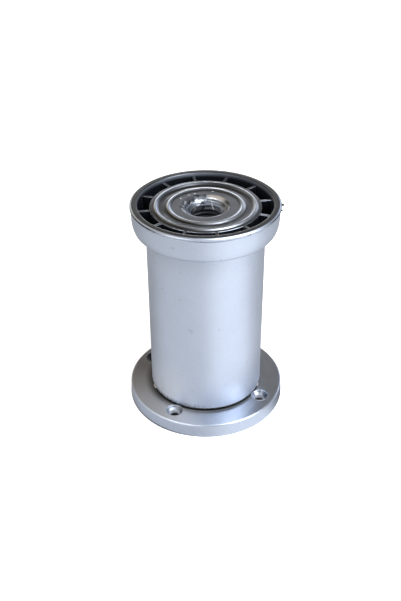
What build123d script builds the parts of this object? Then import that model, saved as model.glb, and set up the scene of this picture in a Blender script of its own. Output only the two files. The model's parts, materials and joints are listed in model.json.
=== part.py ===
from build123d import *
import os

# Plastic furniture leg, standing on its mounting flange with the foot end up.
# All sizes in mm. The origin is the centre of the mounting face, and +Z runs along the leg to the foot.

# Whole leg
TOTAL_HEIGHT = 100.0
TUBE_DIAMETER = 51.6
TUBE_WALL = 2.8

# Foot collar: a turned flare with a soft lower corner and a thin lip round its top
COLLAR_HEIGHT = 12.0
COLLAR_TOP_DIAMETER = 63.5
COLLAR_SIDE_DRAFT = 0.12
COLLAR_ROUND_WIDTH = 2.68
COLLAR_ROUND_HEIGHT = 5.4
COLLAR_CORNER_WIDTH = 1.83
COLLAR_CORNER_HEIGHT = 1.26
COLLAR_FLOOR = 2.4
LIP_DIAMETER = 64.2
LIP_HEIGHT = 1.3
LIP_EDGE_WIDTH = 0.75
LIP_EDGE_HEIGHT = 0.6
PARTING_GROOVE_HEIGHT = 0.35
PARTING_GROOVE_DEPTH = 0.25

# Ribbed pocket between the collar and the hub
POCKET_OUTER_DIAMETER = 57.8
POCKET_EDGE_CHAMFER = 0.4
RIB_COUNT = 12
RIB_THICKNESS = 1.2
RIB_DROP = 1.8
RIB_FIRST_ANGLE = 10.6

# Hub: a ledge, two raised rings with crowned tops and a dished middle with the threaded hole
HUB_DIAMETER = 47.6
HUB_WALL = 2.8
HUB_PLATE = 3.0
LEDGE_DROP = 1.75
OUTER_RING_DIAMETER = 44.8
OUTER_RING_SLOPE = 1.3
OUTER_RING_RISE = 0.6
OUTER_RING_CROWN = 0.65
OUTER_RING_CROWN_DROP = 0.12
OUTER_RING_BACK = 1.2
INNER_RING_DIAMETER = 34.0
INNER_RING_SLOPE = 1.4
INNER_RING_RISE = 0.6
INNER_RING_CROWN = 0.6
INNER_RING_CROWN_DROP = 0.11
INNER_RING_BACK = 1.1
RING_GROOVE_DROP = 2.0
FUNNEL_DIAMETER = 20.6
FUNNEL_DROP = 1.95
HOLE_DIAMETER = 15.4
HOLE_MOUTH_DROP = 3.6
BOSS_WALL = 3.4
BOSS_LENGTH = 20.0

# Mounting flange
FLANGE_DIAMETER = 72.5
FLANGE_THICKNESS = 6.4
FLANGE_DRAFT = 0.3
FLANGE_EDGE_WIDTH = 0.55
FLANGE_EDGE_HEIGHT = 0.6
FLANGE_PLATE = 2.8
FLANGE_SKIRT = 3.0
SHOULDER_DIAMETER = 49.2
SHOULDER_HEIGHT = 1.6
SPIGOT_CLEARANCE = 0.1
SPIGOT_LENGTH = 12.0
SPIGOT_WALL = 2.4
SPIGOT_LEAD_IN = 0.8
FLANGE_RIB_COUNT = 8
FLANGE_RIB_THICKNESS = 1.6

# Countersunk screw holes
SCREW_COUNT = 4
SCREW_CIRCLE_DIAMETER = 57.8
SCREW_FIRST_ANGLE = 60.0
SCREW_HOLE_DIAMETER = 4.5
COUNTERSINK_DIAMETER = 7.7
COUNTERSINK_ANGLE = 90.0
COUNTERSINK_STEP = 0.4
SCREW_PAD_WALL = 3.0

# Worked out from the sizes above
SEAT_Z = FLANGE_THICKNESS + SHOULDER_HEIGHT
COLLAR_Z = TOTAL_HEIGHT - COLLAR_HEIGHT
TUBE_R = TUBE_DIAMETER / 2
BORE_R = TUBE_R - TUBE_WALL
HUB_R = HUB_DIAMETER / 2
HUB_INNER_R = HUB_R - HUB_WALL
HOLE_R = HOLE_DIAMETER / 2
SPIGOT_R = BORE_R - SPIGOT_CLEARANCE
SPIGOT_INNER_R = SPIGOT_R - SPIGOT_WALL


def outer_line():
    """Outside of the leg, from the tube's open end up to the inner edge of the rim's top face."""
    side_r = COLLAR_TOP_DIAMETER / 2
    round_r = side_r - COLLAR_SIDE_DRAFT
    round_z = COLLAR_Z + COLLAR_ROUND_HEIGHT
    foot_r = round_r - COLLAR_ROUND_WIDTH
    groove_z = TOTAL_HEIGHT - LIP_HEIGHT
    groove_r = side_r - PARTING_GROOVE_DEPTH
    lip_r = LIP_DIAMETER / 2
    Polyline(
        (BORE_R, SEAT_Z),
        (TUBE_R, SEAT_Z),
        (TUBE_R, COLLAR_Z),
        (foot_r, COLLAR_Z),
    )
    corner = TangentArc(
        (foot_r, COLLAR_Z),
        (foot_r + COLLAR_CORNER_WIDTH, COLLAR_Z + COLLAR_CORNER_HEIGHT),
        tangent=(1, 0),
    )
    TangentArc(corner @ 1, (round_r, round_z), tangent=corner % 1)
    Polyline(
        (round_r, round_z),
        (side_r, groove_z - PARTING_GROOVE_HEIGHT),
        (groove_r, groove_z - PARTING_GROOVE_HEIGHT),
        (groove_r, groove_z),
        (lip_r, groove_z),
        (lip_r, TOTAL_HEIGHT - LIP_EDGE_HEIGHT),
        (lip_r - LIP_EDGE_WIDTH, TOTAL_HEIGHT),
        (POCKET_OUTER_DIAMETER / 2 + POCKET_EDGE_CHAMFER, TOTAL_HEIGHT),
    )


def pocket_line():
    """Annular pocket, from the rim's top face down to the floor and up to the hub's ledge."""
    rim_r = POCKET_OUTER_DIAMETER / 2
    floor_z = COLLAR_Z + COLLAR_FLOOR
    ledge_z = TOTAL_HEIGHT - LEDGE_DROP
    Polyline(
        (rim_r + POCKET_EDGE_CHAMFER, TOTAL_HEIGHT),
        (rim_r, TOTAL_HEIGHT - POCKET_EDGE_CHAMFER),
        (rim_r, floor_z),
        (HUB_R, floor_z),
        (HUB_R, ledge_z),
    )


def hub_line():
    """Stepped top of the hub, from its ledge over both rings and down the dish to the hole."""
    ledge_z = TOTAL_HEIGHT - LEDGE_DROP
    groove_z = TOTAL_HEIGHT - RING_GROOVE_DROP
    plate_z = TOTAL_HEIGHT - FUNNEL_DROP
    outer_foot = (OUTER_RING_DIAMETER / 2, ledge_z)
    outer_top = (outer_foot[0] - OUTER_RING_SLOPE, ledge_z + OUTER_RING_RISE)
    outer_crown = (outer_top[0] + OUTER_RING_CROWN, outer_top[1] - OUTER_RING_CROWN_DROP)
    outer_back = (outer_top[0] - OUTER_RING_BACK, groove_z)
    inner_foot = (INNER_RING_DIAMETER / 2, groove_z)
    inner_top = (inner_foot[0] - INNER_RING_SLOPE, groove_z + INNER_RING_RISE)
    inner_crown = (inner_top[0] + INNER_RING_CROWN, inner_top[1] - INNER_RING_CROWN_DROP)
    inner_back = (inner_top[0] - INNER_RING_BACK, plate_z)
    Polyline(
        (HUB_R, ledge_z),
        outer_foot,
        outer_crown,
        outer_top,
        outer_back,
        inner_foot,
        inner_crown,
        inner_top,
        inner_back,
        (FUNNEL_DIAMETER / 2, plate_z),
        (HOLE_R, TOTAL_HEIGHT - HOLE_MOUTH_DROP),
    )


def inner_line():
    """Inside of the leg, from the hole's mouth down the boss and back out to the tube's open end."""
    mouth_z = TOTAL_HEIGHT - HOLE_MOUTH_DROP
    boss_r = HOLE_R + BOSS_WALL
    plate_z = TOTAL_HEIGHT - HOLE_MOUTH_DROP - HUB_PLATE
    Polyline(
        (HOLE_R, mouth_z),
        (HOLE_R, mouth_z - BOSS_LENGTH),
        (boss_r, mouth_z - BOSS_LENGTH),
        (boss_r, plate_z),
        (HUB_INNER_R, plate_z),
        (HUB_INNER_R, COLLAR_Z - COLLAR_FLOOR),
        (BORE_R, COLLAR_Z - COLLAR_FLOOR - (BORE_R - HUB_INNER_R)),
        (BORE_R, SEAT_Z),
    )


def pocket_ribs():
    """Radial ribs that tie the collar's wall to the hub."""
    floor_z = COLLAR_Z + COLLAR_FLOOR
    height = TOTAL_HEIGHT - RIB_DROP - floor_z
    wall_mid = (POCKET_OUTER_DIAMETER + COLLAR_TOP_DIAMETER) / 4 - COLLAR_ROUND_WIDTH / 4
    inner = HUB_R - HUB_WALL / 2
    with BuildPart() as ribs:
        with PolarLocations((inner + wall_mid) / 2, RIB_COUNT, start_angle=RIB_FIRST_ANGLE):
            with Locations((0, 0, floor_z)):
                Box(
                    wall_mid - inner,
                    RIB_THICKNESS,
                    height,
                    align=(Align.CENTER, Align.CENTER, Align.MIN),
                )
    return ribs.part


def leg_body():
    """Tube, foot collar, hub and ribs, moulded in one piece."""
    with BuildPart() as leg:
        with BuildSketch(Plane.XZ):
            with BuildLine():
                outer_line()
                pocket_line()
                hub_line()
                inner_line()
            make_face()
        revolve(axis=Axis.Z)
        add(pocket_ribs())
    return leg.part


def flange_disc():
    """Round plate with a drafted side, chamfered top edge, seat shoulder and hollow spigot."""
    rim_r = FLANGE_DIAMETER / 2
    top_r = rim_r - FLANGE_DRAFT
    edge_z = FLANGE_THICKNESS - FLANGE_EDGE_HEIGHT
    spigot_z = SEAT_Z + SPIGOT_LENGTH
    with BuildPart() as disc:
        with BuildSketch(Plane.XZ):
            with BuildLine():
                Polyline(
                    (SPIGOT_INNER_R, 0),
                    (rim_r, 0),
                    (top_r, edge_z),
                    (top_r - FLANGE_EDGE_WIDTH, FLANGE_THICKNESS),
                    (SHOULDER_DIAMETER / 2, FLANGE_THICKNESS),
                    (SHOULDER_DIAMETER / 2, SEAT_Z),
                    (SPIGOT_R, SEAT_Z),
                    (SPIGOT_R, spigot_z - SPIGOT_LEAD_IN),
                    (SPIGOT_R - SPIGOT_LEAD_IN, spigot_z),
                    (SPIGOT_INNER_R, spigot_z),
                    (SPIGOT_INNER_R, 0),
                )
            make_face()
        revolve(axis=Axis.Z)
    return disc.part


def underside_core():
    """Space moulded out of the underside, leaving the skirt, the ribs and the screw pads."""
    depth = FLANGE_THICKNESS - FLANGE_PLATE
    skirt_r = FLANGE_DIAMETER / 2 - FLANGE_DRAFT - FLANGE_SKIRT
    pad_width = SCREW_HOLE_DIAMETER + 2 * SCREW_PAD_WALL
    low = (Align.CENTER, Align.CENTER, Align.MIN)
    with BuildPart() as core:
        Cylinder(skirt_r, depth, align=low)
        Cylinder(SPIGOT_R, depth, align=low, mode=Mode.SUBTRACT)
        with PolarLocations(skirt_r / 2, SCREW_COUNT, start_angle=SCREW_FIRST_ANGLE):
            Box(skirt_r, pad_width, depth, align=low, mode=Mode.SUBTRACT)
        with PolarLocations(skirt_r / 2, FLANGE_RIB_COUNT, start_angle=SCREW_FIRST_ANGLE):
            Box(skirt_r, FLANGE_RIB_THICKNESS, depth, align=low, mode=Mode.SUBTRACT)
    return core.part


def screw_holes():
    """Countersunk clearance holes with a shallow step at the top face."""
    step_z = FLANGE_THICKNESS - COUNTERSINK_STEP
    with BuildPart() as holes:
        with PolarLocations(SCREW_CIRCLE_DIAMETER / 2, SCREW_COUNT, start_angle=SCREW_FIRST_ANGLE):
            with Locations((0, 0, step_z)):
                CounterSinkHole(
                    SCREW_HOLE_DIAMETER / 2,
                    COUNTERSINK_DIAMETER / 2,
                    depth=step_z,
                    counter_sink_angle=COUNTERSINK_ANGLE,
                    mode=Mode.ADD,
                )
                Cylinder(
                    COUNTERSINK_DIAMETER / 2,
                    COUNTERSINK_STEP,
                    align=(Align.CENTER, Align.CENTER, Align.MIN),
                )
    return holes.part


def mounting_flange():
    """Round mounting plate that the leg is pushed onto."""
    return flange_disc() - underside_core() - screw_holes()


os.makedirs("parts", exist_ok=True)
export_step(leg_body(), "parts/leg_body.step")
export_step(mounting_flange(), "parts/mounting_flange.step")
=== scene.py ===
import json
import math
from functools import reduce
from typing import NamedTuple

import bmesh
import bpy
from bpy.props import FloatProperty, FloatVectorProperty, PointerProperty
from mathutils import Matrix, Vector


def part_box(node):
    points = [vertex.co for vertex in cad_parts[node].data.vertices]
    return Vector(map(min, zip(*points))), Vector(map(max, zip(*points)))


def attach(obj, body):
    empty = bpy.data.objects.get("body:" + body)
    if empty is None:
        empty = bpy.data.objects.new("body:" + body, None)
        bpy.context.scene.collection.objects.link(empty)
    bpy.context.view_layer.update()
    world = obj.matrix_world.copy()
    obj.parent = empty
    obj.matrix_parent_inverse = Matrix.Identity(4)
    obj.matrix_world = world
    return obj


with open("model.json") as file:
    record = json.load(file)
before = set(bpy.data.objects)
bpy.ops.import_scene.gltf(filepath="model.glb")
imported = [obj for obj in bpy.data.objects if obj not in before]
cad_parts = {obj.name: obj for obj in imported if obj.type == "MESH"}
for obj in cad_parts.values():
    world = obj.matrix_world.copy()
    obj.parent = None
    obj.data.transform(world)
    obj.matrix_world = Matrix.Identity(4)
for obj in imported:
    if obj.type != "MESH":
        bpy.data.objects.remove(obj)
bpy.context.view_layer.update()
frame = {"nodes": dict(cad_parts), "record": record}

bl_info = {
    "name": "Furniture leg finish",
    "version": (1, 0, 0),
    "blender": (4, 5, 0),
    "location": "3D View > Sidebar > Furniture leg",
    "description": "Silver paint, hub thread, moulding marks and studio stage for a plastic furniture leg",
    "category": "Object",
}

MM = 0.001
LEG_LOW, LEG_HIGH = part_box("leg_body")
FLANGE_LOW, FLANGE_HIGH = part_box("mounting_flange")
MOUNTS = {mount["name"]: mount for mount in frame["record"]["mounts"]}
HOLE = MOUNTS["centre_hole"]
SCREWS = MOUNTS["screw_holes"]["dims"]

# Levels and radii in millimetres, from the frame's boxes and mounts

TOP = LEG_HIGH.z / MM
TUBE_END = LEG_LOW.z / MM
LEG_R = LEG_HIGH.x / MM
LIP_R = (LEG_HIGH.x - LEG_LOW.x) / 2 / MM
FLANGE_R = FLANGE_HIGH.x / MM
FLANGE_FOOT = FLANGE_LOW.z / MM
HOLE_R = HOLE["dims"]["r_mm"]
HOLE_LENGTH = HOLE["dims"]["length_mm"]
MOUTH = HOLE["pos_m"][2] / MM + HOLE_LENGTH / 2
SCREW_COUNT = SCREWS["count"]
SCREW_CIRCLE = SCREWS["pcd_mm"] / 2
SCREW_R = SCREWS["hole_r_mm"]

# Edges of the foot end from the hole outwards, then the levels from the top down

DISH_EDGE = HOLE_R + 2.6
INNER_BACK = HOLE_R + 6.8
INNER_CROWN = HOLE_R + 8.5
INNER_FOOT = HOLE_R + 9.3
OUTER_BACK = LEG_R - 12.2
OUTER_CROWN = LEG_R - 10.35
OUTER_FOOT = LEG_R - 9.7
LEDGE_EDGE = LEG_R - 8.3
TUBE_R = LEG_R - 6.3
POCKET_WALL = LEG_R - 3.2
RIM_EDGE = LEG_R - 0.75
RIB_LEVEL = TOP - 1.8
COLLAR_FOOT = TOP - 12.0
FLANGE_TOP = TUBE_END - 1.6
SCREW_MOUTH = SCREW_R + 1.6

# Screw holes by number and angle in degrees round the axis; the photograph looks from 270

SCREW_FIRST_ANGLE = 60
# One screw hole's cone is left as dark plastic: painted shade for the dark sliver of that hole
SHADED_SCREW = 1
SHADED_REACH = 2.0
REAR = 90

# Nicks in the lip, by angle and depth below the top

LIP_NICKS = ((230, 1.1), (239, 1.3), (267, 1.4), (301.5, 1.2), (303.5, 1.1))
NICK_LIMITS = (0.2, 0.42)
NICK_STRENGTH = 0.9

# Thread, by half widths at its foot and crest in shares of the pitch

THREAD_FOOT = 0.40
THREAD_CREST = 0.09
THREAD_STEPS = 72

# Smear, by steps out from the hole's radius and up from its mouth

SMEAR_LINE = ((3.3, 1.72), (2.5, 1.68), (1.2, 0.86), (-0.1, -0.1), (-0.9, -1.6), (-1.0, -4.2))
SMEAR_STEPS = 22
FOLD_STRETCH = 2.4 * MM

# Specks, by step out from the dish's edge, angle and length

SPECKS = ((2.3, 147.5, 1.0), (1.9, 126.5, 0.9), (2.0, 112.5, 0.7), (3.3, 76.7, 0.8), (-0.6, 206.0, 0.8))
SPECK_LEVEL = MOUTH + 1.7
SPECK_WIDTH = 0.45 * MM
SPECK_THICKNESS = 0.2 * MM
SPECK_TURN = 110
DISH_SLOPE = 0.635

# Flash on the lip, burr and chips at the tube's end

FLASH_LEVEL = TOP - 1.1
BURR_FROM = 192
BURR_SWEEP = 155
BURR_STEPS = 150
BURR_THICKNESS = 0.12 * MM
CHIP_LEVEL = TUBE_END - 0.55
CHIP_WIDTH = 0.5 * MM
CHIP_THICKNESS = 0.8 * MM

# Shaving, by step out from the hole's radius, angle and step up from its mouth

SHAVING_LINE = ((0.7, 74, 0.55), (-0.1, 70, 0.25), (-1.1, 66, -0.35), (-1.8, 60, -1.5), (-1.7, 54, -2.6))
SHAVING_RADIUS = 0.09 * MM

# Scales of noise, in waves to a metre

CLOUD_SCALE = 70.0
TOP_SHADE_SCALE = 260.0
FLANGE_GRAIN_SCALE = 350.0
GRAIN_SCALE = 400.0
MARK_SCALE = 420.0
TEAR_SCALE = 430.0
OVERSPRAY_SCALE = 700.0
FOLD_SCALE = 800.0
PEEL_SCALE = 900.0
RAGGED_SCALE = 1300.0
MOTTLE_SCALE = 1500.0
BURR_SCALE = 2500.0

# Colours of wear, stains and dusty coats, and of painted shade, painted highlights, painted light and
# painted reflections

RIM_SHADE = (0.052, 0.053, 0.057, 1)
PLATE_SHADE = (0.06, 0.062, 0.07, 1)
RING_SHADE = (0.05, 0.05, 0.056, 1)
RING_HIGHLIGHT = (0.88, 0.91, 0.96, 1)
CORNER_SHADE = (0.03, 0.03, 0.034, 1)
TAN_REFLECTION = (0.52, 0.43, 0.32, 1)
DISH_DULL = (0.06, 0.058, 0.056, 1)
COLLAR_SHADE = (0.05, 0.055, 0.07, 1)
TUBE_LIGHT = (0.74, 0.80, 0.90, 1)
TUBE_MARK = (0.25, 0.27, 0.31, 1)
COOL_DUST = (0.56, 0.58, 0.605, 1)
WARM_DUST_AND_REFLECTION = (0.62, 0.565, 0.50, 1)
REAR_LEFT_SHADE = (0.16, 0.122, 0.088, 1)
TUBE_SHADOW = (0.05, 0.042, 0.036, 1)
LOW_EDGE_SHADE = (0.04, 0.045, 0.06, 1)
SCREW_SHADE = (0.10, 0.11, 0.13, 1)
SCREW_SPRAY = (0.50, 0.55, 0.63, 1)
# Smear colours: painted shade in its hollows, painted light on its rear side and painted glints
SMEAR_BLUE = (0.10, 0.125, 0.165, 1)
SMEAR_GREY = (0.16, 0.178, 0.205, 1)
SMEAR_HOLLOW = (0.12, 0.135, 0.16, 1)
SMEAR_TEAR = (0.045, 0.05, 0.06, 1)
SMEAR_GLINT = (0.70, 0.73, 0.78, 1)

# Dark and light mottle of the small pieces

SPECK_MOTTLE = (0.40, 0.42, 0.45, 1), (0.66, 0.68, 0.71, 1)
FLASH_MOTTLE = (0.008, 0.008, 0.009, 1), (0.03, 0.03, 0.034, 1)
BURR_MOTTLE = (0.02, 0.022, 0.026, 1), (0.16, 0.17, 0.19, 1)
CHIP_MOTTLE = (0.42, 0.39, 0.35, 1), (0.68, 0.66, 0.63, 1)
SHAVING_MOTTLE = (0.66, 0.67, 0.70, 1), (0.85, 0.86, 0.88, 1)

# Colours of the floor and the surroundings

WHITE = (1, 1, 1, 1)
FLOOR_PAINT = (0.86, 0.86, 0.86, 1)
# Floor tones seen only in reflections: painted shade towards the rear and a painted shadow near the leg
FLOOR_FRONT = (0.58, 0.58, 0.58, 1)
FLOOR_REAR_SHADE = (0.40, 0.40, 0.40, 1)
FLOOR_SHADOW_NEAR_LEG = (0.1, 0.1, 0.1, 1)
REAR_WALL_LEFT = (0.13, 0.10, 0.062, 1)
REAR_WALL_RIGHT = (0.09, 0.087, 0.083, 1)
FRONT_WALL = (0.34, 0.35, 0.37, 1)
HORIZON = (0.55, 0.56, 0.58, 1)
SHEET_LEFT = (1.4, 1.25, 1.0, 1)
SHEET_RIGHT = (1.4, 1.5, 1.7, 1)
SHEET_MIDDLE = (4.6, 4.7, 4.8, 1)
LEFT_REFLECTOR = (1.0, 0.92, 0.80, 1)


class Lamp(NamedTuple):
    """A square soft lamp: where it hangs, its width and its tint."""

    place: tuple
    size: float
    tint: tuple


LAMPS = {
    "key": Lamp(place=(0.38, -0.24, 0.80), size=0.5, tint=(1.0, 0.99, 0.97)),
    "side": Lamp(place=(0.56, -0.30, 0.58), size=0.40, tint=(1.0, 1.0, 1.0)),
    "fill": Lamp(place=(-0.50, -0.56, 0.64), size=0.5, tint=(1.0, 0.95, 0.87)),
}


class Patch(NamedTuple):
    """Where a coat, stains, painted shade or a painted highlight show.

    It fades in past the two radii of outside and out past those of inside, in past the two heights of
    above and out past those of below, all in millimetres. Upward holds two upward shares of the normal,
    and side holds an angle, the two facings towards it and, if they aren't none and full, the values there.
    """

    strength: float = 1.0
    outside: tuple = ()
    inside: tuple = ()
    above: tuple = ()
    below: tuple = ()
    upward: tuple = ()
    side: tuple = ()


# Patches of the foot end, and its painted shade, painted highlights and tints in the order in which they are
# laid

FOOT_TOP = Patch(above=(TOP - 3.1, TOP - 2.4), upward=(0.985, 0.999))
RIM_TOP = Patch(
    strength=0.95, outside=(POCKET_WALL - 0.1, POCKET_WALL + 0.3), above=(TOP - 0.8, TOP - 0.5),
)
RIB_TOPS = Patch(
    strength=0.8, outside=(LEDGE_EDGE + 0.05, LEDGE_EDGE + 0.1), inside=(POCKET_WALL, POCKET_WALL + 0.05),
    above=(RIB_LEVEL - 0.2, RIB_LEVEL - 0.05), side=(235, -0.5, 0.5),
)
OUTER_PLATES = FOOT_TOP._replace(
    outside=(INNER_FOOT - 0.2, INNER_FOOT - 0.1), inside=(LEDGE_EDGE + 0.2, LEDGE_EDGE + 0.3),
)
INNER_PLATE = FOOT_TOP._replace(
    strength=0.36, outside=(DISH_EDGE, DISH_EDGE + 0.1), inside=(INNER_BACK + 0.1, INNER_BACK + 0.2),
)
HUB_TOP = Patch(above=(TOP - 2.5, TOP - 2.2))
HUB_REAR = HUB_TOP._replace(side=(REAR, 0.45, 0.9))
HUB_GLINT = HUB_TOP._replace(side=(92, 0.75, 0.96))
HUB_LEFT = HUB_TOP._replace(side=(190, 0.05, 0.6), strength=0.9)
# Painted warm reflection on the rear right of the dish, where the paint is also made less metallic
TAN_REFLECTION_SIDE = Patch(
    strength=0.6, outside=(DISH_EDGE - 1.5, DISH_EDGE - 1.0), inside=(DISH_EDGE + 0.2, DISH_EDGE + 0.7),
    above=(MOUTH - 1.4, MOUTH + 0.1), side=(57, 0.8, 0.99),
)
DULL_SIDE = Patch(
    strength=0.75, outside=(HOLE_R - 0.5, HOLE_R - 0.2), inside=(DISH_EDGE + 0.1, DISH_EDGE + 0.4),
    above=(MOUTH - 1.4, MOUTH - 0.1), side=(-10, 0.5, 0.9),
)
FOOT_SHADE_AND_TINTS = (
    # Painted shade on the rim's top face and on its rear edge
    (RIM_SHADE, (
        RIM_TOP._replace(inside=(RIM_EDGE - 0.15, RIM_EDGE + 0.05)),
        RIM_TOP._replace(side=(REAR, 0.0, 0.5)),
    )),
    # Painted shade on the rib tops and on the flat plates of the hub, darkest at the rear and on the left
    (PLATE_SHADE, (RIB_TOPS,)),
    (PLATE_SHADE, (
        OUTER_PLATES._replace(side=(265, -0.1, 0.6, 0.75, 0.3)),
        OUTER_PLATES._replace(side=(178, 0.8, 0.97, 0.0, 0.92)),
        INNER_PLATE,
    )),
    (RING_SHADE, (
        HUB_REAR._replace(
            strength=0.8, outside=(OUTER_BACK - 0.25, OUTER_BACK - 0.1),
            inside=(OUTER_BACK + 1.1, OUTER_BACK + 1.25),
        ),
        HUB_REAR._replace(
            strength=0.32, outside=(INNER_BACK - 0.25, INNER_BACK - 0.1),
            inside=(INNER_BACK + 0.9, INNER_BACK + 1.05),
        ),
        HUB_TOP._replace(
            strength=0.68, outside=(OUTER_BACK - 0.35, OUTER_BACK - 0.2),
            inside=(OUTER_BACK + 0.6, OUTER_BACK + 0.75),
        ),
        HUB_TOP._replace(
            strength=0.68, outside=(INNER_BACK - 0.35, INNER_BACK - 0.2),
            inside=(INNER_BACK + 0.4, INNER_BACK + 0.55),
        ),
    )),
    # Painted highlights along the ring crowns, brightest at the rear
    (RING_HIGHLIGHT, (
        HUB_GLINT._replace(
            outside=(OUTER_CROWN - 0.45, OUTER_CROWN - 0.35), inside=(LEDGE_EDGE + 0.1, LEDGE_EDGE + 0.2),
        ),
        HUB_GLINT._replace(
            outside=(INNER_CROWN - 0.4, INNER_CROWN - 0.3), inside=(INNER_FOOT + 1.0, INNER_FOOT + 1.1),
        ),
        HUB_TOP._replace(
            strength=0.7, outside=(OUTER_CROWN - 0.45, OUTER_CROWN - 0.35),
            inside=(OUTER_CROWN + 0.15, OUTER_CROWN + 0.25),
        ),
        HUB_TOP._replace(
            strength=0.7, outside=(INNER_CROWN - 0.4, INNER_CROWN - 0.3),
            inside=(INNER_CROWN + 0.2, INNER_CROWN + 0.3),
        ),
    )),
    # Painted shade in the corners beside the ring crowns, on the left
    (CORNER_SHADE, (
        HUB_LEFT._replace(
            outside=(OUTER_CROWN, OUTER_CROWN + 0.15), inside=(OUTER_FOOT + 0.2, OUTER_FOOT + 0.35),
        ),
        HUB_LEFT._replace(
            outside=(INNER_CROWN + 0.15, INNER_CROWN + 0.3), inside=(INNER_FOOT + 0.4, INNER_FOOT + 0.55),
        ),
    )),
    (TAN_REFLECTION, (TAN_REFLECTION_SIDE,)),
    (DISH_DULL, (DULL_SIDE,)),
)
SMEAR_LIT_SIDE = Patch(side=(112, 0.55, 0.95))

# Patches of the leg that no paint reached, and the parting groove, unpainted plastic and painted shade under
# the lip

POCKET_SIDE = Patch(
    outside=(POCKET_WALL - 0.25, POCKET_WALL - 0.2), inside=(POCKET_WALL + 0.35, POCKET_WALL + 0.4),
    above=(COLLAR_FOOT + 0.5, COLLAR_FOOT + 1.5),
)
POCKET_SPRAY = Patch(above=(TOP - 2.4, TOP), side=(128, 0.5, 0.95, 0.22, 0.5))
POCKET_HOLLOW = Patch(
    outside=(LEDGE_EDGE - 0.1, LEDGE_EDGE - 0.05), inside=(POCKET_WALL - 0.3, POCKET_WALL - 0.25),
    above=(COLLAR_FOOT + 0.5, COLLAR_FOOT + 1.5), below=(RIB_LEVEL - 0.2, RIB_LEVEL - 0.03),
)
LEG_INSIDE = Patch(inside=(LEDGE_EDGE - 0.6, LEDGE_EDGE - 0.2), below=(MOUTH - 3.4, MOUTH))
# Parting groove: unpainted plastic and painted shade under the overhanging lip, shown only on the left and
# right
PARTING = Patch(
    outside=(RIM_EDGE + 0.05, RIM_EDGE + 0.25), above=(TOP - 1.1, TOP - 1.0), below=(TOP - 0.52, TOP - 0.42),
)
PARTING_LEFT = PARTING._replace(side=(200, 0.75, 0.93))
PARTING_RIGHT = PARTING._replace(side=(350, 0.81, 0.96))
RAGGED_END = Patch(below=(TUBE_END + 0.2, TUBE_END + 2.8), side=(226, 0.6, 0.96, 0.1, 0.85))

# Patches of the collar and the tube, and those of roughness and of moulded height in millimetres

UNDER_COLLAR = Patch(
    strength=0.14, above=(COLLAR_FOOT - 14, COLLAR_FOOT - 1), below=(COLLAR_FOOT, COLLAR_FOOT + 0.2),
    side=(250, 0.6, 0.95),
)
# Painted light low on the tube, lighter towards the bottom left and none on the right front
LOWER_TUBE_LIGHT = Patch(
    strength=0.75, above=(TUBE_END + 0.4, TUBE_END + 2), below=(TUBE_END + 2, TUBE_END + 26),
    side=(255, 0.35, 0.8),
)
UNLIT_SIDE = Patch(side=(-45, 0.1, 0.75, 1.0, 0.0))
MARKED = Patch(strength=0.2, below=(TOP - 4, TOP - 3))
RUBBED = Patch(strength=0.08, above=(TOP - 5, TOP - 3), inside=(RIM_EDGE - 0.15, RIM_EDGE + 0.15))
ROUGH_END = Patch(strength=0.2, below=(TUBE_END, TUBE_END + 22))
PEEL = Patch(strength=0.04, below=(TOP - 10, TOP - 4))
PEEL_EVERYWHERE = 0.02
OUTER_SHOULDER = Patch(strength=0.15, inside=(OUTER_FOOT, LEDGE_EDGE), above=(TOP - 3, TOP - 2.5))
INNER_SHOULDER = Patch(strength=0.13, inside=(INNER_FOOT, INNER_FOOT + 1.2), above=(TOP - 3, TOP - 2.5))

# Patches of the flange and of the floor

DUSTED_TOP = Patch(strength=0.45, upward=(0.9, 0.99))
WARM_REFLECTION_SIDE = Patch(side=(205, 0.2, 0.9))
# Painted shade on the flange: on the rear left, a painted shadow beside the tube on the left, and along the
# foot of its side at the front left
FLANGE_SHADES = (
    (REAR_LEFT_SHADE, Patch(strength=0.4, side=(140, 0.2, 0.9))),
    (TUBE_SHADOW, Patch(strength=0.7, inside=(TUBE_R + 0.4, TUBE_R + 4.2), side=(172, 0.3, 0.9))),
    (LOW_EDGE_SHADE, Patch(strength=0.75, below=(FLANGE_FOOT + 0.4, FLANGE_FOOT + 1.3), side=(212, 0.6, 0.95))),
)
FLANGE_UNDER = Patch(inside=(FLANGE_R - 1.05, FLANGE_R - 0.75), below=(FLANGE_TOP - 3.0, FLANGE_TOP - 2.2))
# Unpainted seat under the tube, its dark carried past the tube's edge onto the flange top as a painted
# shadow
FLANGE_SEAT_AND_SHADOW = Patch(inside=(TUBE_R - 0.4, TUBE_R + 1.0), above=(FLANGE_TOP - 0.4, FLANGE_TOP - 0.1))
BORE_SPRAYED = Patch(above=(FLANGE_TOP - 4.0, FLANGE_TOP - 3.2))
BORE_BARE = Patch(below=(FLANGE_TOP - 4.0, FLANGE_TOP - 3.2))
ROUGH_SIDE = Patch(strength=0.17, side=(222, 0.5, 0.97))
# Floor patches seen in reflections: a painted pool of light, painted shade to the rear and a painted shadow
# near the flange
FLOOR_LIGHT_POOL = Patch(side=(-45, 0.6, 1.0, 0.16, 0.66))
FLOOR_DIM = Patch(side=(105, -0.1, 0.9, 1.0, 0.2))
FLOOR_NEAR = Patch(inside=(FLANGE_R + 1.75, FLANGE_R + 23.75), side=(15, 0.5, 0.95, 0.3, 0.9))
FLOOR_SEEN = Patch(strength=0.72, outside=(FLANGE_R - 2.25, FLANGE_R - 0.75))
FLOOR_FAR_SIDE = Patch(side=(80, -0.2, 0.9))


# Settings

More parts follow.
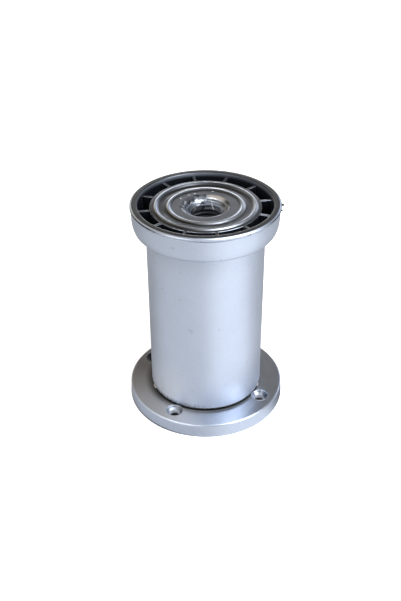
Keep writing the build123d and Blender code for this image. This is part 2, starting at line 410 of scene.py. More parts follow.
class PaintSettings(bpy.types.PropertyGroup):
    """Silver paint, the painted shade of the foot end's top faces, and the unpainted plastic under the
    paint.
    """

    silver_dark: FloatVectorProperty(
        name="Dark flake", description="Paint colour in the hollows between flakes",
        subtype="COLOR", size=4, min=0, max=1, default=(0.465, 0.53, 0.655, 1),
    )
    silver_light: FloatVectorProperty(
        name="Light flake", description="Paint colour on the flakes that face out",
        subtype="COLOR", size=4, min=0, max=1, default=(0.515, 0.585, 0.715, 1),
    )
    # Painted shade: the darker colour laid on the upward faces of the foot end
    painted_top_shade: FloatVectorProperty(
        name="Dulled top", description="Paint colour on the handled faces of the foot end",
        subtype="COLOR", size=4, min=0, max=1, default=(0.20, 0.20, 0.213, 1),
    )
    plastic: FloatVectorProperty(
        name="Bare plastic", description="Colour of the moulding where no paint reached",
        subtype="COLOR", size=4, min=0, max=1, default=(0.006, 0.0075, 0.011, 1),
    )
    metallic: FloatProperty(
        name="Metallic", description="How metal-like the paint shines", subtype="FACTOR",
        min=0, max=1, default=0.97,
    )
    roughness: FloatProperty(
        name="Roughness", description="Spread of the paint's shine", subtype="FACTOR",
        min=0, max=1, default=0.38,
    )
    flake_scale: FloatProperty(
        name="Flake scale", description="Flakes of paint in a metre", min=100, default=2600,
    )
    edge_softness: FloatProperty(
        name="Edge softness", description="Radius of the moulded edges under the paint",
        subtype="DISTANCE", unit="LENGTH", min=0, default=0.5 * MM,
    )


class FootSettings(bpy.types.PropertyGroup):
    """Thread, paint smear and moulding marks of the foot end."""

    thread_pitch: FloatProperty(
        name="Thread pitch", description="Height of one turn of the hub's thread",
        subtype="DISTANCE", unit="LENGTH", min=0.1 * MM, default=2.0 * MM,
    )
    thread_depth: FloatProperty(
        name="Thread depth", description="How far the thread stands into the hole",
        subtype="DISTANCE", unit="LENGTH", min=0.1 * MM, default=0.9 * MM,
    )
    smear_start: FloatProperty(
        name="Smear start", description="Angle round the hole at which the smear begins",
        subtype="ANGLE", unit="ROTATION", default=math.radians(88),
    )
    smear_sweep: FloatProperty(
        name="Smear sweep", description="Angle that the smear covers round the hole",
        subtype="ANGLE", unit="ROTATION", default=math.radians(112),
    )
    smear_thickness: FloatProperty(
        name="Smear thickness", description="Thickness of the film of paint over the dish",
        subtype="DISTANCE", unit="LENGTH", min=0.01 * MM, default=0.12 * MM,
    )
    smear_crumple: FloatProperty(
        name="Smear crumple", description="How far the film of paint is thrown into folds",
        subtype="DISTANCE", unit="LENGTH", min=0, default=0.11 * MM,
    )
    flash_size: FloatProperty(
        name="Flash size", description="Length of the larger nib of flash on the lip",
        subtype="DISTANCE", unit="LENGTH", min=0.1 * MM, default=1.2 * MM,
    )


class TubeEndSettings(bpy.types.PropertyGroup):
    """Cut edge of the tube above the flange."""

    burr_drop: FloatProperty(
        name="Burr drop", description="How far the ragged burr hangs below the tube's end",
        subtype="DISTANCE", unit="LENGTH", min=0, default=0.3 * MM,
    )
    chip_length: FloatProperty(
        name="Chip length", description="Length of the longer pale chip caught under the tube",
        subtype="DISTANCE", unit="LENGTH", min=0.1 * MM, default=3.0 * MM,
    )


class StageSettings(bpy.types.PropertyGroup):
    """Camera, floor and lamps."""

    camera_place: FloatVectorProperty(
        name="Camera place", description="Where the camera stands", subtype="TRANSLATION",
        unit="LENGTH", size=3, default=(0.0, -0.31574, 0.26080),
    )
    camera_turn: FloatVectorProperty(
        name="Camera turn", description="Which way the camera looks", subtype="EULER",
        unit="ROTATION", size=3,
        default=(math.radians(56.262), math.radians(0.302), math.radians(0.230)),
    )
    lens: FloatProperty(
        name="Lens", description="Focal length over a 36 mm frame height, in millimetres",
        min=1, default=50.06,
    )
    floor_size: FloatProperty(
        name="Floor size", description="Width of the pale floor", subtype="DISTANCE",
        unit="LENGTH", min=1, default=12.0,
    )
    key_power: FloatProperty(
        name="Key power", description="Power of the large soft lamp", unit="POWER", min=0, default=4.6,
    )
    side_power: FloatProperty(
        name="Side power", description="Power of the lamp on the right", unit="POWER",
        min=0, default=3.4,
    )
    fill_power: FloatProperty(
        name="Fill power", description="Power of the weaker lamp on the left", unit="POWER",
        min=0, default=3.6,
    )


# Node helpers

class Nodes:
    """A node tree, emptied, with short ways to put sums and blends into it."""

    def __init__(self, tree):
        self.tree = tree
        tree.nodes.clear()

    def add(self, kind, inputs=None, **options):
        """Add a node, set its options, and set or link each of its inputs."""
        made = self.tree.nodes.new(kind)
        for name, value in options.items():
            setattr(made, name, value)
        for name, value in (inputs or {}).items():
            if isinstance(value, bpy.types.NodeSocket):
                self.tree.links.new(value, made.inputs[name])
            else:
                made.inputs[name].default_value = value
        return made

    def calc(self, operation, first, second):
        """The result of one sum on two sockets or numbers."""
        return self.add("ShaderNodeMath", {0: first, 1: second}, operation=operation).outputs[0]

    def product(self, *factors):
        """All the factors multiplied together."""
        return reduce(lambda first, second: self.calc("MULTIPLY", first, second), factors)

    def most(self, *values):
        """The greatest of the values."""
        return reduce(lambda first, second: self.calc("MAXIMUM", first, second), values)

    def fade(self, value, start, end, start_value=0.0, end_value=1.0):
        """A smooth step from one value to another while the input goes from start to end."""
        return self.add(
            "ShaderNodeMapRange",
            {"Value": value, "From Min": start, "From Max": end, "To Min": start_value, "To Max": end_value},
            interpolation_type="SMOOTHSTEP", clamp=True,
        ).outputs["Result"]

    def band(self, value, low, high, soft):
        """One between low and high and zero outside, with soft shoulders."""
        return self.product(
            self.fade(value, low - soft, low), self.fade(value, high, high + soft, 1.0, 0.0),
        )

    def mix(self, factor, first, second):
        """The second colour laid over the first by a factor."""
        return self.add("ShaderNodeMix", {0: factor, 6: first, 7: second}, data_type="RGBA").outputs[2]

    def noise(self, where, scale, detail, roughness=0.5):
        """Even noise at a scale of so many waves in a metre."""
        inputs = {"Vector": where, "Scale": scale, "Detail": detail, "Roughness": roughness}
        return self.add("ShaderNodeTexNoise", inputs).outputs[0]

    def split(self, vector):
        """The X, Y and Z of a vector."""
        return self.add("ShaderNodeSeparateXYZ", {0: vector}).outputs


class Finish(Nodes):
    """A material in the making, with sockets for the place, height, radius and upward facing of a point."""

    def __init__(self, name):
        self.material = bpy.data.materials.new(name)
        self.material.use_nodes = True
        super().__init__(self.material.node_tree)
        self.at = self.add("ShaderNodeTexCoord").outputs["Object"]
        self.height = self.split(self.at)["Z"]
        self.flat = self.vector("MULTIPLY", self.at, (1, 1, 0)).outputs[0]
        self.radius = self.add("ShaderNodeVectorMath", {0: self.flat}, operation="LENGTH").outputs["Value"]
        self.upward = self.split(self.add("ShaderNodeNewGeometry").outputs["Normal"])["Z"]

    def vector(self, operation, first, second):
        """The node of one sum on two vectors."""
        return self.add("ShaderNodeVectorMath", {0: first, 1: second}, operation=operation)

    def towards(self, degrees):
        """One on the side of the leg at that angle, minus one on the far side."""
        aim = (math.cos(math.radians(degrees)), math.sin(math.radians(degrees)), 0)
        dot = self.vector("DOT_PRODUCT", self.flat, aim).outputs["Value"]
        return self.calc("DIVIDE", dot, self.radius)

    def mask(self, patch):
        """How strongly a patch shows at a point."""
        limits = (
            (self.radius, patch.outside, 0.0, 1.0), (self.radius, patch.inside, 1.0, 0.0),
            (self.height, patch.above, 0.0, 1.0), (self.height, patch.below, 1.0, 0.0),
        )
        shares = [
            self.fade(value, limit[0] * MM, limit[1] * MM, before, after)
            for value, limit, before, after in limits if limit
        ]
        if patch.upward:
            shares.append(self.fade(self.upward, *patch.upward))
        if patch.side:
            angle, *facings = patch.side
            shares.append(self.fade(self.towards(angle), *facings))
        if patch.strength != 1.0:
            shares.append(patch.strength)
        return self.product(*shares)

    def coat(self, under, colour, *patches):
        """A colour laid over another wherever one of the patches shows."""
        return self.mix(self.most(*[self.mask(patch) for patch in patches]), under, colour)

    def bump(self, strength, distance, height, **inputs):
        """The normal of a surface raised by a height."""
        inputs = {"Strength": strength, "Distance": distance, "Height": height, **inputs}
        return self.add("ShaderNodeBump", inputs).outputs[0]

    def shine(self, inputs):
        """The surface shader, joined to the output; the finished material is returned."""
        shader = self.add("ShaderNodeBsdfPrincipled", inputs)
        self.add("ShaderNodeOutputMaterial", {"Surface": shader.outputs[0]})
        return self.material


def wear_finish(piece, material):
    """Give a piece or a node of the frame its one material."""
    piece.data.materials.clear()
    piece.data.materials.append(material)


# Finishes

def silver_colour(finish, paint):
    """Paint colour with its fine flakes and a faint cloudiness from spraying."""
    flakes = finish.fade(finish.noise(finish.at, paint.flake_scale, 1.0), 0.2, 0.8)
    clouds = finish.fade(finish.noise(finish.at, CLOUD_SCALE, 3.0), 0.3, 0.7, -0.18, 0.18)
    share = finish.calc("ADD", flakes, clouds)
    return finish.mix(share, tuple(paint.silver_dark), tuple(paint.silver_light))


def moulded_normal(finish, paint):
    """Soft moulded edges and the hub's low shoulders under a coat with a fine orange peel."""
    edges = finish.add("ShaderNodeBevel", {"Radius": paint.edge_softness}, samples=16).outputs[0]
    shoulders = finish.calc("ADD", finish.mask(OUTER_SHOULDER), finish.mask(INNER_SHOULDER))
    rounded = finish.bump(1.0, MM, shoulders, Normal=edges)
    peel = finish.noise(finish.at, PEEL_SCALE, 2.0)
    strength = finish.calc("ADD", finish.mask(PEEL), PEEL_EVERYWHERE)
    return finish.bump(strength, 0.05 * MM, peel, Normal=rounded)


def leg_finish(paint):
    """Paint of the leg: silver outside, painted shade and highlights on the foot end, painted light low on
    the tube, unpainted in the pockets and inside.
    """
    finish = Finish("leg_silver_paint")
    colour = silver_colour(finish, paint)
    # Painted shade on the upward faces of the foot end, its strength varied by noise
    shaded = finish.fade(finish.noise(finish.at, TOP_SHADE_SCALE, 4.0), 0.25, 0.75, 0.56, 0.72)
    colour = finish.mix(finish.product(finish.mask(FOOT_TOP), shaded), colour, tuple(paint.painted_top_shade))
    for stain_and_shade, patches in FOOT_SHADE_AND_TINTS:
        colour = finish.coat(colour, stain_and_shade, *patches)

    unsprayed = finish.calc("SUBTRACT", 1.0, finish.mask(POCKET_SPRAY))
    specks = finish.fade(finish.noise(finish.at, RAGGED_SCALE, 3.0, 0.7), 0.48, 0.55)
    unpainted_and_shaded = [
        finish.product(finish.mask(POCKET_SIDE), unsprayed),
        finish.product(finish.mask(RAGGED_END), specks),
    ]
    # The parting groove's dark on the left and right is partly painted shade under the lip
    unpainted_and_shaded += [finish.mask(patch) for patch in (POCKET_HOLLOW, LEG_INSIDE, PARTING_LEFT, PARTING_RIGHT)]
    start, end = NICK_LIMITS
    for angle, below in LIP_NICKS:
        away = finish.vector("DISTANCE", finish.at, round_axis(LIP_R, angle, TOP - below)).outputs["Value"]
        unpainted_and_shaded.append(finish.fade(away, start * MM, end * MM, NICK_STRENGTH, 0.0))
    unpainted_and_shaded = finish.most(*unpainted_and_shaded)
    colour = finish.mix(unpainted_and_shaded, colour, tuple(paint.plastic))

    colour = finish.coat(colour, COLLAR_SHADE, UNDER_COLLAR)
    # Painted light low on the tube's front left
    painted_light = finish.product(finish.mask(LOWER_TUBE_LIGHT), finish.mask(UNLIT_SIDE))
    colour = finish.mix(painted_light, colour, TUBE_LIGHT)
    marks = finish.fade(finish.noise(finish.at, MARK_SCALE, 0.0), 0.79, 0.83)
    colour = finish.mix(finish.product(marks, finish.mask(MARKED)), colour, TUBE_MARK)

    metal = finish.product(
        finish.fade(unpainted_and_shaded, 0.0, 1.0, paint.metallic, 0.0),
        finish.fade(finish.mask(TAN_REFLECTION_SIDE), 0.0, TAN_REFLECTION_SIDE.strength, 1.0, 0.4),
    )
    grain = finish.noise(finish.at, GRAIN_SCALE, 3.0)
    grain = finish.fade(grain, 0.2, 0.8, paint.roughness - 0.012, paint.roughness + 0.016)
    grain = finish.calc("SUBTRACT", grain, finish.mask(RUBBED))
    grain = finish.calc("ADD", grain, finish.mask(ROUGH_END))
    return finish.shine({
        "Base Color": colour, "Metallic": metal, "Roughness": grain,
        "Specular IOR Level": finish.fade(unpainted_and_shaded, 0.0, 1.0, 0.5, 0.15),
        "Normal": moulded_normal(finish, paint),
    })


def flange_finish(paint):
    """Paint of the flange: silver above and round its side with painted shade and a painted warm reflection,
    unpainted under it and on the seat.
    """
    finish = Finish("flange_silver_paint")
    colour = silver_colour(finish, paint)
    # Dusty coat on the flange's top, with a painted warm reflection on its left
    dust_and_reflection = finish.mix(finish.mask(WARM_REFLECTION_SIDE), COOL_DUST, WARM_DUST_AND_REFLECTION)
    colour = finish.coat(colour, dust_and_reflection, DUSTED_TOP)
    for stain_and_shade, patch in FLANGE_SHADES:
        colour = finish.coat(colour, stain_and_shade, patch)

    unpainted_and_shaded = [finish.mask(FLANGE_UNDER), finish.mask(FLANGE_SEAT_AND_SHADOW)]
    sprayed = []
    for number in range(SCREW_COUNT):
        hole = round_axis(SCREW_CIRCLE, SCREW_FIRST_ANGLE + number * 360 / SCREW_COUNT, 0)
        away = finish.vector("DISTANCE", finish.flat, hole).outputs["Value"]
        across = finish.split(finish.vector("SUBTRACT", finish.flat, hole).outputs[0])
        reach = SCREW_R if number != SHADED_SCREW else SCREW_R + SHADED_REACH
        bore = finish.fade(away, (reach + 0.05) * MM, (reach + 0.25) * MM, 1.0, 0.0)
        if number != SHADED_SCREW:
            sprayed.append(finish.product(bore, finish.mask(BORE_SPRAYED)))
            bore = finish.product(bore, finish.mask(BORE_BARE))
        unpainted_and_shaded.append(bore)
        cone = finish.fade(away, (SCREW_MOUTH - 0.15) * MM, SCREW_MOUTH * MM, 1.0, 0.0)
        # Painted shade on the right half of each countersink and a thin painted shadow inside its rear edge
        cone_shade = finish.product(cone, finish.fade(across["X"], -0.2 * MM, 0.9 * MM), 0.75)
        edge = finish.band(away, (SCREW_MOUTH - 0.65) * MM, (SCREW_MOUTH - 0.35) * MM, 0.1 * MM)
        edge = finish.product(edge, finish.fade(across["Y"], 0.5 * MM, 1.5 * MM), 0.8)
        colour = finish.mix(finish.most(cone_shade, edge), colour, SCREW_SHADE)
    unpainted_and_shaded = finish.most(*unpainted_and_shaded)
    sprayed = finish.most(*sprayed)
    colour = finish.mix(unpainted_and_shaded, colour, tuple(paint.plastic))
    colour = finish.mix(sprayed, colour, SCREW_SPRAY)

    metal = finish.product(
        finish.fade(unpainted_and_shaded, 0.0, 1.0, paint.metallic, 0.0), finish.fade(sprayed, 0.0, 1.0, 1.0, 0.2),
    )
    grain = finish.noise(finish.at, FLANGE_GRAIN_SCALE, 3.0)
    grain = finish.fade(grain, 0.2, 0.8, paint.roughness - 0.08, paint.roughness - 0.02)
    grain = finish.calc("ADD", grain, finish.mask(ROUGH_SIDE))
    return finish.shine({
        "Base Color": colour, "Metallic": metal, "Roughness": grain, "Normal": moulded_normal(finish, paint),
    })


def thread_finish(paint):
    """Bare plastic thread that overspray has silvered near the mouth of the hole."""
    finish = Finish("thread_overspray")
    spray = finish.fade(finish.height, (MOUTH - 4.9) * MM, (MOUTH - 0.2) * MM, 0.05, 0.8)
    gaps = finish.fade(finish.noise(finish.at, OVERSPRAY_SCALE, 3.0), 0.3, 0.7, 0.4, 1.0)
    silvered = finish.product(spray, gaps)
    return finish.shine({
        "Base Color": finish.mix(silvered, tuple(paint.plastic), tuple(paint.silver_dark)),
        "Metallic": finish.fade(silvered, 0.0, 1.0, 0.0, paint.metallic), "Roughness": 0.4,
    })


def smear_finish():
    """Wet-looking film of paint, with painted light on its rear side, painted shade in its fold hollows,
    painted glints on its folds, and dark where it has torn.
    """
    finish = Finish("smeared_paint")
    flat = finish.split(finish.flat)
    angle = finish.calc("ARCTAN2", flat["Y"], flat["X"])
    along = finish.add(
        "ShaderNodeCombineXYZ",
        {"X": finish.radius, "Y": finish.product(angle, FOLD_STRETCH), "Z": finish.height},
    ).outputs[0]
    folds = finish.noise(along, FOLD_SCALE, 3.0, 0.55)
    tears = finish.fade(finish.noise(finish.at, TEAR_SCALE, 2.0), 0.42, 0.48, 1.0, 0.0)
    # Painted light on the smear's rear side, painted shade in its fold hollows and painted glints on its
    # folds
    bright = finish.mix(finish.mask(SMEAR_LIT_SIDE), SMEAR_BLUE, SMEAR_GREY)
    colour = finish.mix(finish.fade(folds, 0.36, 0.56), SMEAR_HOLLOW, bright)
    colour = finish.mix(tears, colour, SMEAR_TEAR)
    colour = finish.mix(finish.fade(folds, 0.58, 0.62), colour, SMEAR_GLINT)
    return finish.shine({
        "Base Color": colour, "Metallic": 0.85, "Roughness": finish.fade(folds, 0.3, 0.7, 0.46, 0.34),
        "Normal": finish.bump(0.5, 0.2 * MM, folds),
    })


def scrap_finish(name, mottle, roughness, scale=MOTTLE_SCALE):
    """Mottled dark and light finish for the specks, flash, burr, chips and shaving."""
    finish = Finish(name)
    spots = finish.noise(finish.at, scale, 3.0)
    return finish.shine({
        "Base Color": finish.mix(finish.fade(spots, 0.3, 0.7), *mottle),
        "Roughness": finish.fade(spots, 0.2, 0.8, roughness, roughness + 0.12),
        "Normal": finish.bump(0.3, 0.05 * MM, spots),
    })


# Modelling helpers

def round_axis(radius, degrees, height):
    """A point at a radius and a height in millimetres, and an angle round the leg's axis."""
    turn = math.radians(degrees)
    return Vector((radius * MM * math.cos(turn), radius * MM * math.sin(turn), height * MM))


def name_piece(name):
    """Name the piece just added, set it at its place and go into edit mode with all of it selected."""
    piece = bpy.context.object
    piece.name = name
    piece.data.name = name
    bpy.ops.object.transform_apply(location=True, rotation=True, scale=True)
    bpy.ops.object.mode_set(mode="EDIT")
    bpy.ops.mesh.select_mode(type="VERT")
    bpy.ops.mesh.select_all(action="SELECT")
    return piece


def draw_line(name, points):
    """Edges through the points, drawn out from one corner; the piece is left in edit mode."""
    bpy.ops.object.select_all(action="DESELECT")
    bpy.ops.mesh.primitive_plane_add(size=MM, location=points[0])
    piece = name_piece(name)
    bpy.ops.mesh.merge(type="CENTER")
    for start, end in zip(points, points[1:]):
        bpy.ops.mesh.extrude_vertices_move(TRANSFORM_OT_translate={"value": tuple(end - start)})
    bpy.ops.mesh.select_all(action="SELECT")
    return piece


def select_points(piece, test):
    """Select only the points of the piece in edit mode whose place passes a test."""
    mesh = bmesh.from_edit_mesh(piece.data)
    for vert in mesh.verts:
        vert.select_set(False)
    for vert in mesh.verts:
        if test(vert.co):
            vert.select_set(True)
    mesh.select_flush_mode()
    bmesh.update_edit_mesh(piece.data)


def close_shell():
    """Merge what meets, turn all faces outwards and leave edit mode."""
    bpy.ops.mesh.select_all(action="SELECT")
    bpy.ops.mesh.remove_doubles(threshold=0.001 * MM)
    bpy.ops.mesh.normals_make_consistent(inside=False)
    bpy.ops.object.mode_set(mode="OBJECT")


def add_modifier(piece, kind, **options):
    """Put one modifier on the piece and apply it."""
    modifier = piece.modifiers.new(kind.title(), kind)
    for name, value in options.items():
        setattr(modifier, name, value)
    bpy.ops.object.modifier_apply(modifier=modifier.name)


def settle(piece, material):
    """Finish a piece: its material and the body that it rides on."""
    bpy.ops.object.select_all(action="DESELECT")
    wear_finish(piece, material)
    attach(piece, "root")


def ragged_bit(name, place, size, seed, degrees):
    """A small torn bit: a block drawn out at one end, divided, crumpled and turned about its middle."""
    bpy.ops.object.select_all(action="DESELECT")
    bpy.ops.mesh.primitive_cube_add(size=1, location=place)
    piece = name_piece(name)
    bpy.ops.transform.resize(value=size, center_override=place)
    select_points(piece, lambda at: at.x > place.x)
    bpy.ops.transform.resize(value=(1, 0.45, 0.5), center_override=place + Vector((size[0] / 2, 0, 0)))
    bpy.ops.mesh.select_all(action="SELECT")
    bpy.ops.mesh.subdivide(number_cuts=3, smoothness=0.3)
    bpy.ops.transform.vertex_random(offset=min(size) * 0.35, uniform=0.4, normal=0.3, seed=seed)
    close_shell()
    bpy.ops.object.mode_set(mode="EDIT")
    bpy.ops.mesh.select_all(action="SELECT")
    bpy.ops.transform.rotate(value=-math.radians(degrees), orient_axis="Z", center_override=place)
    bpy.ops.object.mode_set(mode="OBJECT")
    return piece


# Operators, one for each piece or group of like pieces

class LEG_OT_paint_frame(bpy.types.Operator):
    """Paint the leg and the flange"""

    bl_idname = "furniture_leg.paint_frame"
    bl_label = "Paint leg and flange"

    def execute(self, context):
        paint = context.scene.leg_paint
        wear_finish(frame["nodes"]["leg_body"], leg_finish(paint))
        wear_finish(frame["nodes"]["mounting_flange"], flange_finish(paint))
        return {"FINISHED"}


class LEG_OT_hub_thread(bpy.types.Operator):
    """Cut the thread's turns down the hub's hole"""

    bl_idname = "furniture_leg.hub_thread"
    bl_label = "Hub thread"

    def execute(self, context):
        foot = context.scene.leg_foot
        pitch = foot.thread_pitch / MM
        root = HOLE_R + 0.05
        crest = HOLE_R - foot.thread_depth / MM
        start = MOUTH - 0.5 * pitch
        turns = int((HOLE_LENGTH - 1.2 * pitch) / pitch)
        profile = ((root, THREAD_FOOT), (crest, THREAD_CREST), (crest, -THREAD_CREST), (root, -THREAD_FOOT))
        line = [round_axis(radius, 0, start + up * pitch) for radius, up in profile]
        piece = draw_line("hub_thread", line)
        bpy.ops.mesh.edge_face_add()
        bpy.ops.mesh.delete(type="ONLY_FACE")
        bpy.ops.object.mode_set(mode="OBJECT")
        add_modifier(
            piece, "SCREW", axis="Z", angle=2 * math.pi, screw_offset=-foot.thread_pitch, iterations=turns,
            steps=THREAD_STEPS, render_steps=THREAD_STEPS, use_smooth_shade=True,
        )
        bpy.ops.object.mode_set(mode="EDIT")
        bpy.ops.mesh.select_all(action="SELECT")
        bpy.ops.mesh.fill_holes(sides=4)
        close_shell()
        bpy.ops.object.shade_smooth_by_angle(angle=math.radians(30))
        settle(piece, thread_finish(context.scene.leg_paint))
        return {"FINISHED"}


class LEG_OT_dish_smear(bpy.types.Operator):
    """Lay the crumpled film of paint over the back of the dish and into the hole"""

    bl_idname = "furniture_leg.dish_smear"
    bl_label = "Paint smear in the dish"

    def execute(self, context):
        foot = context.scene.leg_foot
        start = math.degrees(foot.smear_start)
        line = [round_axis(HOLE_R + out, start, MOUTH + up) for out, up in SMEAR_LINE]
        piece = draw_line("dish_smear", line)
        bpy.ops.mesh.spin(steps=SMEAR_STEPS, angle=-foot.smear_sweep, center=(0, 0, 0), axis=(0, 0, 1))
        bpy.ops.mesh.select_all(action="SELECT")
        bpy.ops.transform.vertex_random(offset=foot.smear_crumple, uniform=0.5, normal=0.5, seed=7)
        close_shell()
        add_modifier(piece, "SOLIDIFY", thickness=foot.smear_thickness, offset=0.0)
        add_modifier(piece, "SUBSURF", levels=2, render_levels=2)
        bpy.ops.object.shade_smooth()
        settle(piece, smear_finish())
        return {"FINISHED"}


class LEG_OT_paint_specks(bpy.types.Operator):
    """Scatter the few specks of paint round the dish"""

    bl_idname = "furniture_leg.paint_specks"
    bl_label = "Specks of paint round the dish"

    def execute(self, context):
        finish = scrap_finish("paint_speck", SPECK_MOTTLE, 0.3)
        for number, (out, angle, length) in enumerate(SPECKS, 1):
            fall = max(0.0, -out) * DISH_SLOPE
            place = round_axis(DISH_EDGE + out, angle, SPECK_LEVEL - fall)
            size = (length * MM, SPECK_WIDTH, SPECK_THICKNESS)
            piece = ragged_bit(f"paint_speck_{number}", place, size, 20 + number, angle + SPECK_TURN)
            settle(piece, finish)
        return {"FINISHED"}


class LEG_OT_lip_flash(bpy.types.Operator):
    """Leave the two black nibs of flash on the lip's parting line"""

    bl_idname = "furniture_leg.lip_flash"
    bl_label = "Flash on the lip"

    def execute(self, context):
        length = context.scene.leg_foot.flash_size
        finish = scrap_finish("black_flash", FLASH_MOTTLE, 0.4)
        nibs = (("lip_flash_1", -2.0, length, 5), ("lip_flash_2", -11.0, length * 0.6, 9))
        for name, angle, size, seed in nibs:
            place = round_axis(LIP_R + 0.25 * size / MM, angle, FLASH_LEVEL)
            piece = ragged_bit(name, place, (size, 0.9 * size, 0.55 * size), seed, angle)
            settle(piece, finish)
        return {"FINISHED"}


class LEG_OT_tube_end(bpy.types.Operator):
    """Leave the ragged burr on the tube's lower edge and the pale chips caught under it"""

    bl_idname = "furniture_leg.tube_end"
    bl_label = "Tube end burr and chips"

    def execute(self, context):
        end = context.scene.leg_tube_end
        line = [
            round_axis(TUBE_R - 0.12, BURR_FROM, TUBE_END + 0.25),
            round_axis(TUBE_R - 0.1, BURR_FROM, TUBE_END - end.burr_drop / MM),
        ]
        piece = draw_line("tube_burr", line)
        bpy.ops.mesh.spin(
            steps=BURR_STEPS, angle=-math.radians(BURR_SWEEP), center=(0, 0, 0), axis=(0, 0, 1),
        )
        select_points(piece, lambda at: at.z < LEG_LOW.z)
        bpy.ops.transform.vertex_random(offset=0.8 * end.burr_drop, uniform=0.9, normal=0.0, seed=3)
        close_shell()
        add_modifier(piece, "SOLIDIFY", thickness=BURR_THICKNESS, offset=0.0)
        settle(piece, scrap_finish("burr_plastic", BURR_MOTTLE, 0.45, BURR_SCALE))

        finish = scrap_finish("pale_chip", CHIP_MOTTLE, 0.5)
        for name, angle, share, seed in (("chip_left", 201.0, 1.0, 12), ("chip_right", 342.0, 0.6, 15)):
            place = round_axis(TUBE_R - 0.1, angle, CHIP_LEVEL)
            size = (share * end.chip_length, CHIP_WIDTH, CHIP_THICKNESS)
            piece = ragged_bit(name, place, size, seed, angle + 90)
            settle(piece, finish)
        return {"FINISHED"}


class LEG_OT_shaving(bpy.types.Operator):
    """Hang the curled shaving in the mouth of the hole"""

    bl_idname = "furniture_leg.shaving"
    bl_label = "Shaving in the hole"

    def execute(self, context):
        line = [round_axis(HOLE_R + out, angle, MOUTH + up) for out, angle, up in SHAVING_LINE]
        draw_line("shaving", line)
        bpy.ops.mesh.subdivide(number_cuts=3, smoothness=1.0)
        bpy.ops.object.mode_set(mode="OBJECT")
        bpy.ops.object.convert(target="CURVE")
        curve = bpy.context.object.data
        curve.bevel_depth = SHAVING_RADIUS
        curve.bevel_resolution = 2
        curve.use_fill_caps = True
        bpy.ops.object.convert(target="MESH")
        bpy.ops.object.shade_smooth()
        settle(bpy.context.object, scrap_finish("pale_shaving", SHAVING_MOTTLE, 0.3))
        return {"FINISHED"}


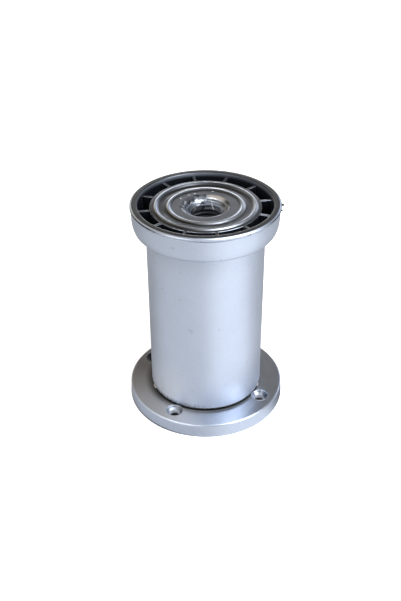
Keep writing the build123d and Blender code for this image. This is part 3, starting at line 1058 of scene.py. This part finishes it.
class LEG_OT_stage(bpy.types.Operator):
    """Set the floor, the lamps, the surroundings and the camera"""

    bl_idname = "furniture_leg.stage"
    bl_label = "Studio stage"

    def execute(self, context):
        stage = context.scene.leg_stage
        self.floor(stage)
        self.lamp("key", stage.key_power)
        self.lamp("side", stage.side_power)
        self.lamp("fill", stage.fill_power)
        self.surroundings(context.scene)
        self.camera(context.scene, stage)
        context.scene.view_settings.view_transform = "Standard"
        return {"FINISHED"}

    def floor(self, stage):
        """A pale floor, white to the camera, with the leg's shadow on it; in reflections it shows a painted
        pool of light at the front right, painted shade towards the rear and a painted shadow near the leg.
        """
        bpy.ops.object.select_all(action="DESELECT")
        bpy.ops.mesh.primitive_plane_add(size=stage.floor_size)
        floor = bpy.context.object
        floor.name = "floor"
        finish = Finish("pale_floor")
        light = finish.add("ShaderNodeLightPath").outputs
        mirrored = finish.most(light["Is Glossy Ray"], light["Is Transmission Ray"])
        # Seen in reflections: a painted pool of light, painted shade to the rear and a painted shadow near
        # the leg
        near = finish.mask(FLOOR_NEAR)
        seen = finish.calc(
            "ADD",
            finish.product(light["Is Camera Ray"], finish.mask(FLOOR_SEEN)),
            finish.product(
                mirrored, finish.mask(FLOOR_LIGHT_POOL), finish.mask(FLOOR_DIM),
                finish.fade(near, 0.3, 0.9, 1.0, 0.1),
            ),
        )
        tone = finish.mix(finish.mask(FLOOR_FAR_SIDE), FLOOR_FRONT, FLOOR_REAR_SHADE)
        tone = finish.mix(near, tone, FLOOR_SHADOW_NEAR_LEG)
        shade = finish.mix(mirrored, FLOOR_PAINT, tone)
        paint = finish.add("ShaderNodeBsdfDiffuse", {"Color": shade})
        glow = finish.add("ShaderNodeEmission", {"Color": WHITE, "Strength": seen})
        both = finish.add("ShaderNodeAddShader", {0: paint.outputs[0], 1: glow.outputs[0]})
        finish.add("ShaderNodeOutputMaterial", {"Surface": both.outputs[0]})
        wear_finish(floor, finish.material)

    def lamp(self, name, power):
        """A square soft lamp aimed at the middle of the leg."""
        place, size, tint = LAMPS[name]
        bpy.ops.object.select_all(action="DESELECT")
        bpy.ops.object.light_add(type="AREA", location=place)
        lamp = bpy.context.object
        lamp.name = f"{name}_lamp"
        lamp.data.size = size
        lamp.data.energy = power
        lamp.data.color = tint
        aim = Vector((0, 0, LEG_HIGH.z / 2)) - Vector(place)
        lamp.rotation_euler = aim.to_track_quat("-Z", "Y").to_euler()

    def surroundings(self, scene):
        """Grey walls, a bright sheet behind the leg and a reflector on its left; the camera sees white."""
        world = bpy.data.worlds.new("studio")
        world.use_nodes = True
        nodes = Nodes(world.node_tree)
        aim = nodes.split(nodes.add("ShaderNodeTexCoord").outputs["Generated"])
        right, back, up = aim["X"], aim["Y"], aim["Z"]
        side = nodes.fade(right, -0.7, 0.7)
        walls = nodes.mix(side, REAR_WALL_LEFT, REAR_WALL_RIGHT)
        walls = nodes.mix(nodes.fade(back, -0.5, 0.1, 1.0, 0.0), walls, FRONT_WALL)
        colour = nodes.mix(nodes.fade(up, 0.17, 0.30, 1.0, 0.0), walls, HORIZON)
        sheet = nodes.mix(side, SHEET_LEFT, SHEET_RIGHT)
        sheet = nodes.mix(nodes.band(right, -0.15, 0.1, 0.15), sheet, SHEET_MIDDLE)
        behind = nodes.product(nodes.fade(back, 0.2, 0.6), nodes.fade(up, 0.24, 0.34, 1.0, 0.0))
        colour = nodes.mix(behind, colour, sheet)
        reflector = nodes.product(
            nodes.fade(right, -0.75, -0.5, 1.0, 0.0), nodes.band(up, 0.3, 0.75, 0.1),
            nodes.fade(back, 0.35, 0.6, 1.0, 0.0),
        )
        colour = nodes.mix(reflector, colour, LEFT_REFLECTOR)
        seen = nodes.add("ShaderNodeLightPath").outputs["Is Camera Ray"]
        shell = nodes.add("ShaderNodeBackground", {"Color": nodes.mix(seen, colour, WHITE), "Strength": 1.0})
        nodes.add("ShaderNodeOutputWorld", {"Surface": shell.outputs[0]})
        scene.world = world

    def camera(self, scene, stage):
        """A camera at the photograph's angle and distance."""
        bpy.ops.object.select_all(action="DESELECT")
        bpy.ops.object.camera_add(location=stage.camera_place, rotation=stage.camera_turn)
        camera = bpy.context.object
        camera.name = "front_camera"
        camera.data.lens = stage.lens
        camera.data.sensor_width = 36
        camera.data.clip_start = 0.01
        scene.camera = camera


class LEG_PT_panel(bpy.types.Panel):
    """Finish of the furniture leg"""

    bl_label = "Furniture leg"
    bl_idname = "LEG_PT_panel"
    bl_space_type = "VIEW_3D"
    bl_region_type = "UI"
    bl_category = "Furniture leg"

    def draw(self, context):
        scene = context.scene
        for settings in (scene.leg_paint, scene.leg_foot, scene.leg_tube_end, scene.leg_stage):
            box = self.layout.box()
            for name in settings.bl_rna.properties.keys():
                if name not in {"rna_type", "name"}:
                    box.prop(settings, name)
        for operator in OPERATORS:
            self.layout.operator(operator.bl_idname)


OPERATORS = (
    LEG_OT_paint_frame,
    LEG_OT_hub_thread,
    LEG_OT_dish_smear,
    LEG_OT_paint_specks,
    LEG_OT_lip_flash,
    LEG_OT_tube_end,
    LEG_OT_shaving,
    LEG_OT_stage,
)
SETTINGS = {
    "leg_paint": PaintSettings,
    "leg_foot": FootSettings,
    "leg_tube_end": TubeEndSettings,
    "leg_stage": StageSettings,
}


def register():
    """Make the settings, the operators and the panel known."""
    for name, group in SETTINGS.items():
        bpy.utils.register_class(group)
        setattr(bpy.types.Scene, name, PointerProperty(type=group))
    for operator in OPERATORS:
        bpy.utils.register_class(operator)
    bpy.utils.register_class(LEG_PT_panel)


def unregister():
    """Take them away again."""
    bpy.utils.unregister_class(LEG_PT_panel)
    for operator in reversed(OPERATORS):
        bpy.utils.unregister_class(operator)
    for name, group in reversed(SETTINGS.items()):
        delattr(bpy.types.Scene, name)
        bpy.utils.unregister_class(group)


def main():
    """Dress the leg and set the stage."""
    register()
    leg = bpy.ops.furniture_leg
    leg.paint_frame()
    leg.hub_thread()
    leg.dish_smear()
    leg.paint_specks()
    leg.lip_flash()
    leg.tube_end()
    leg.shaving()
    leg.stage()


if __name__ == "__main__":
    main()
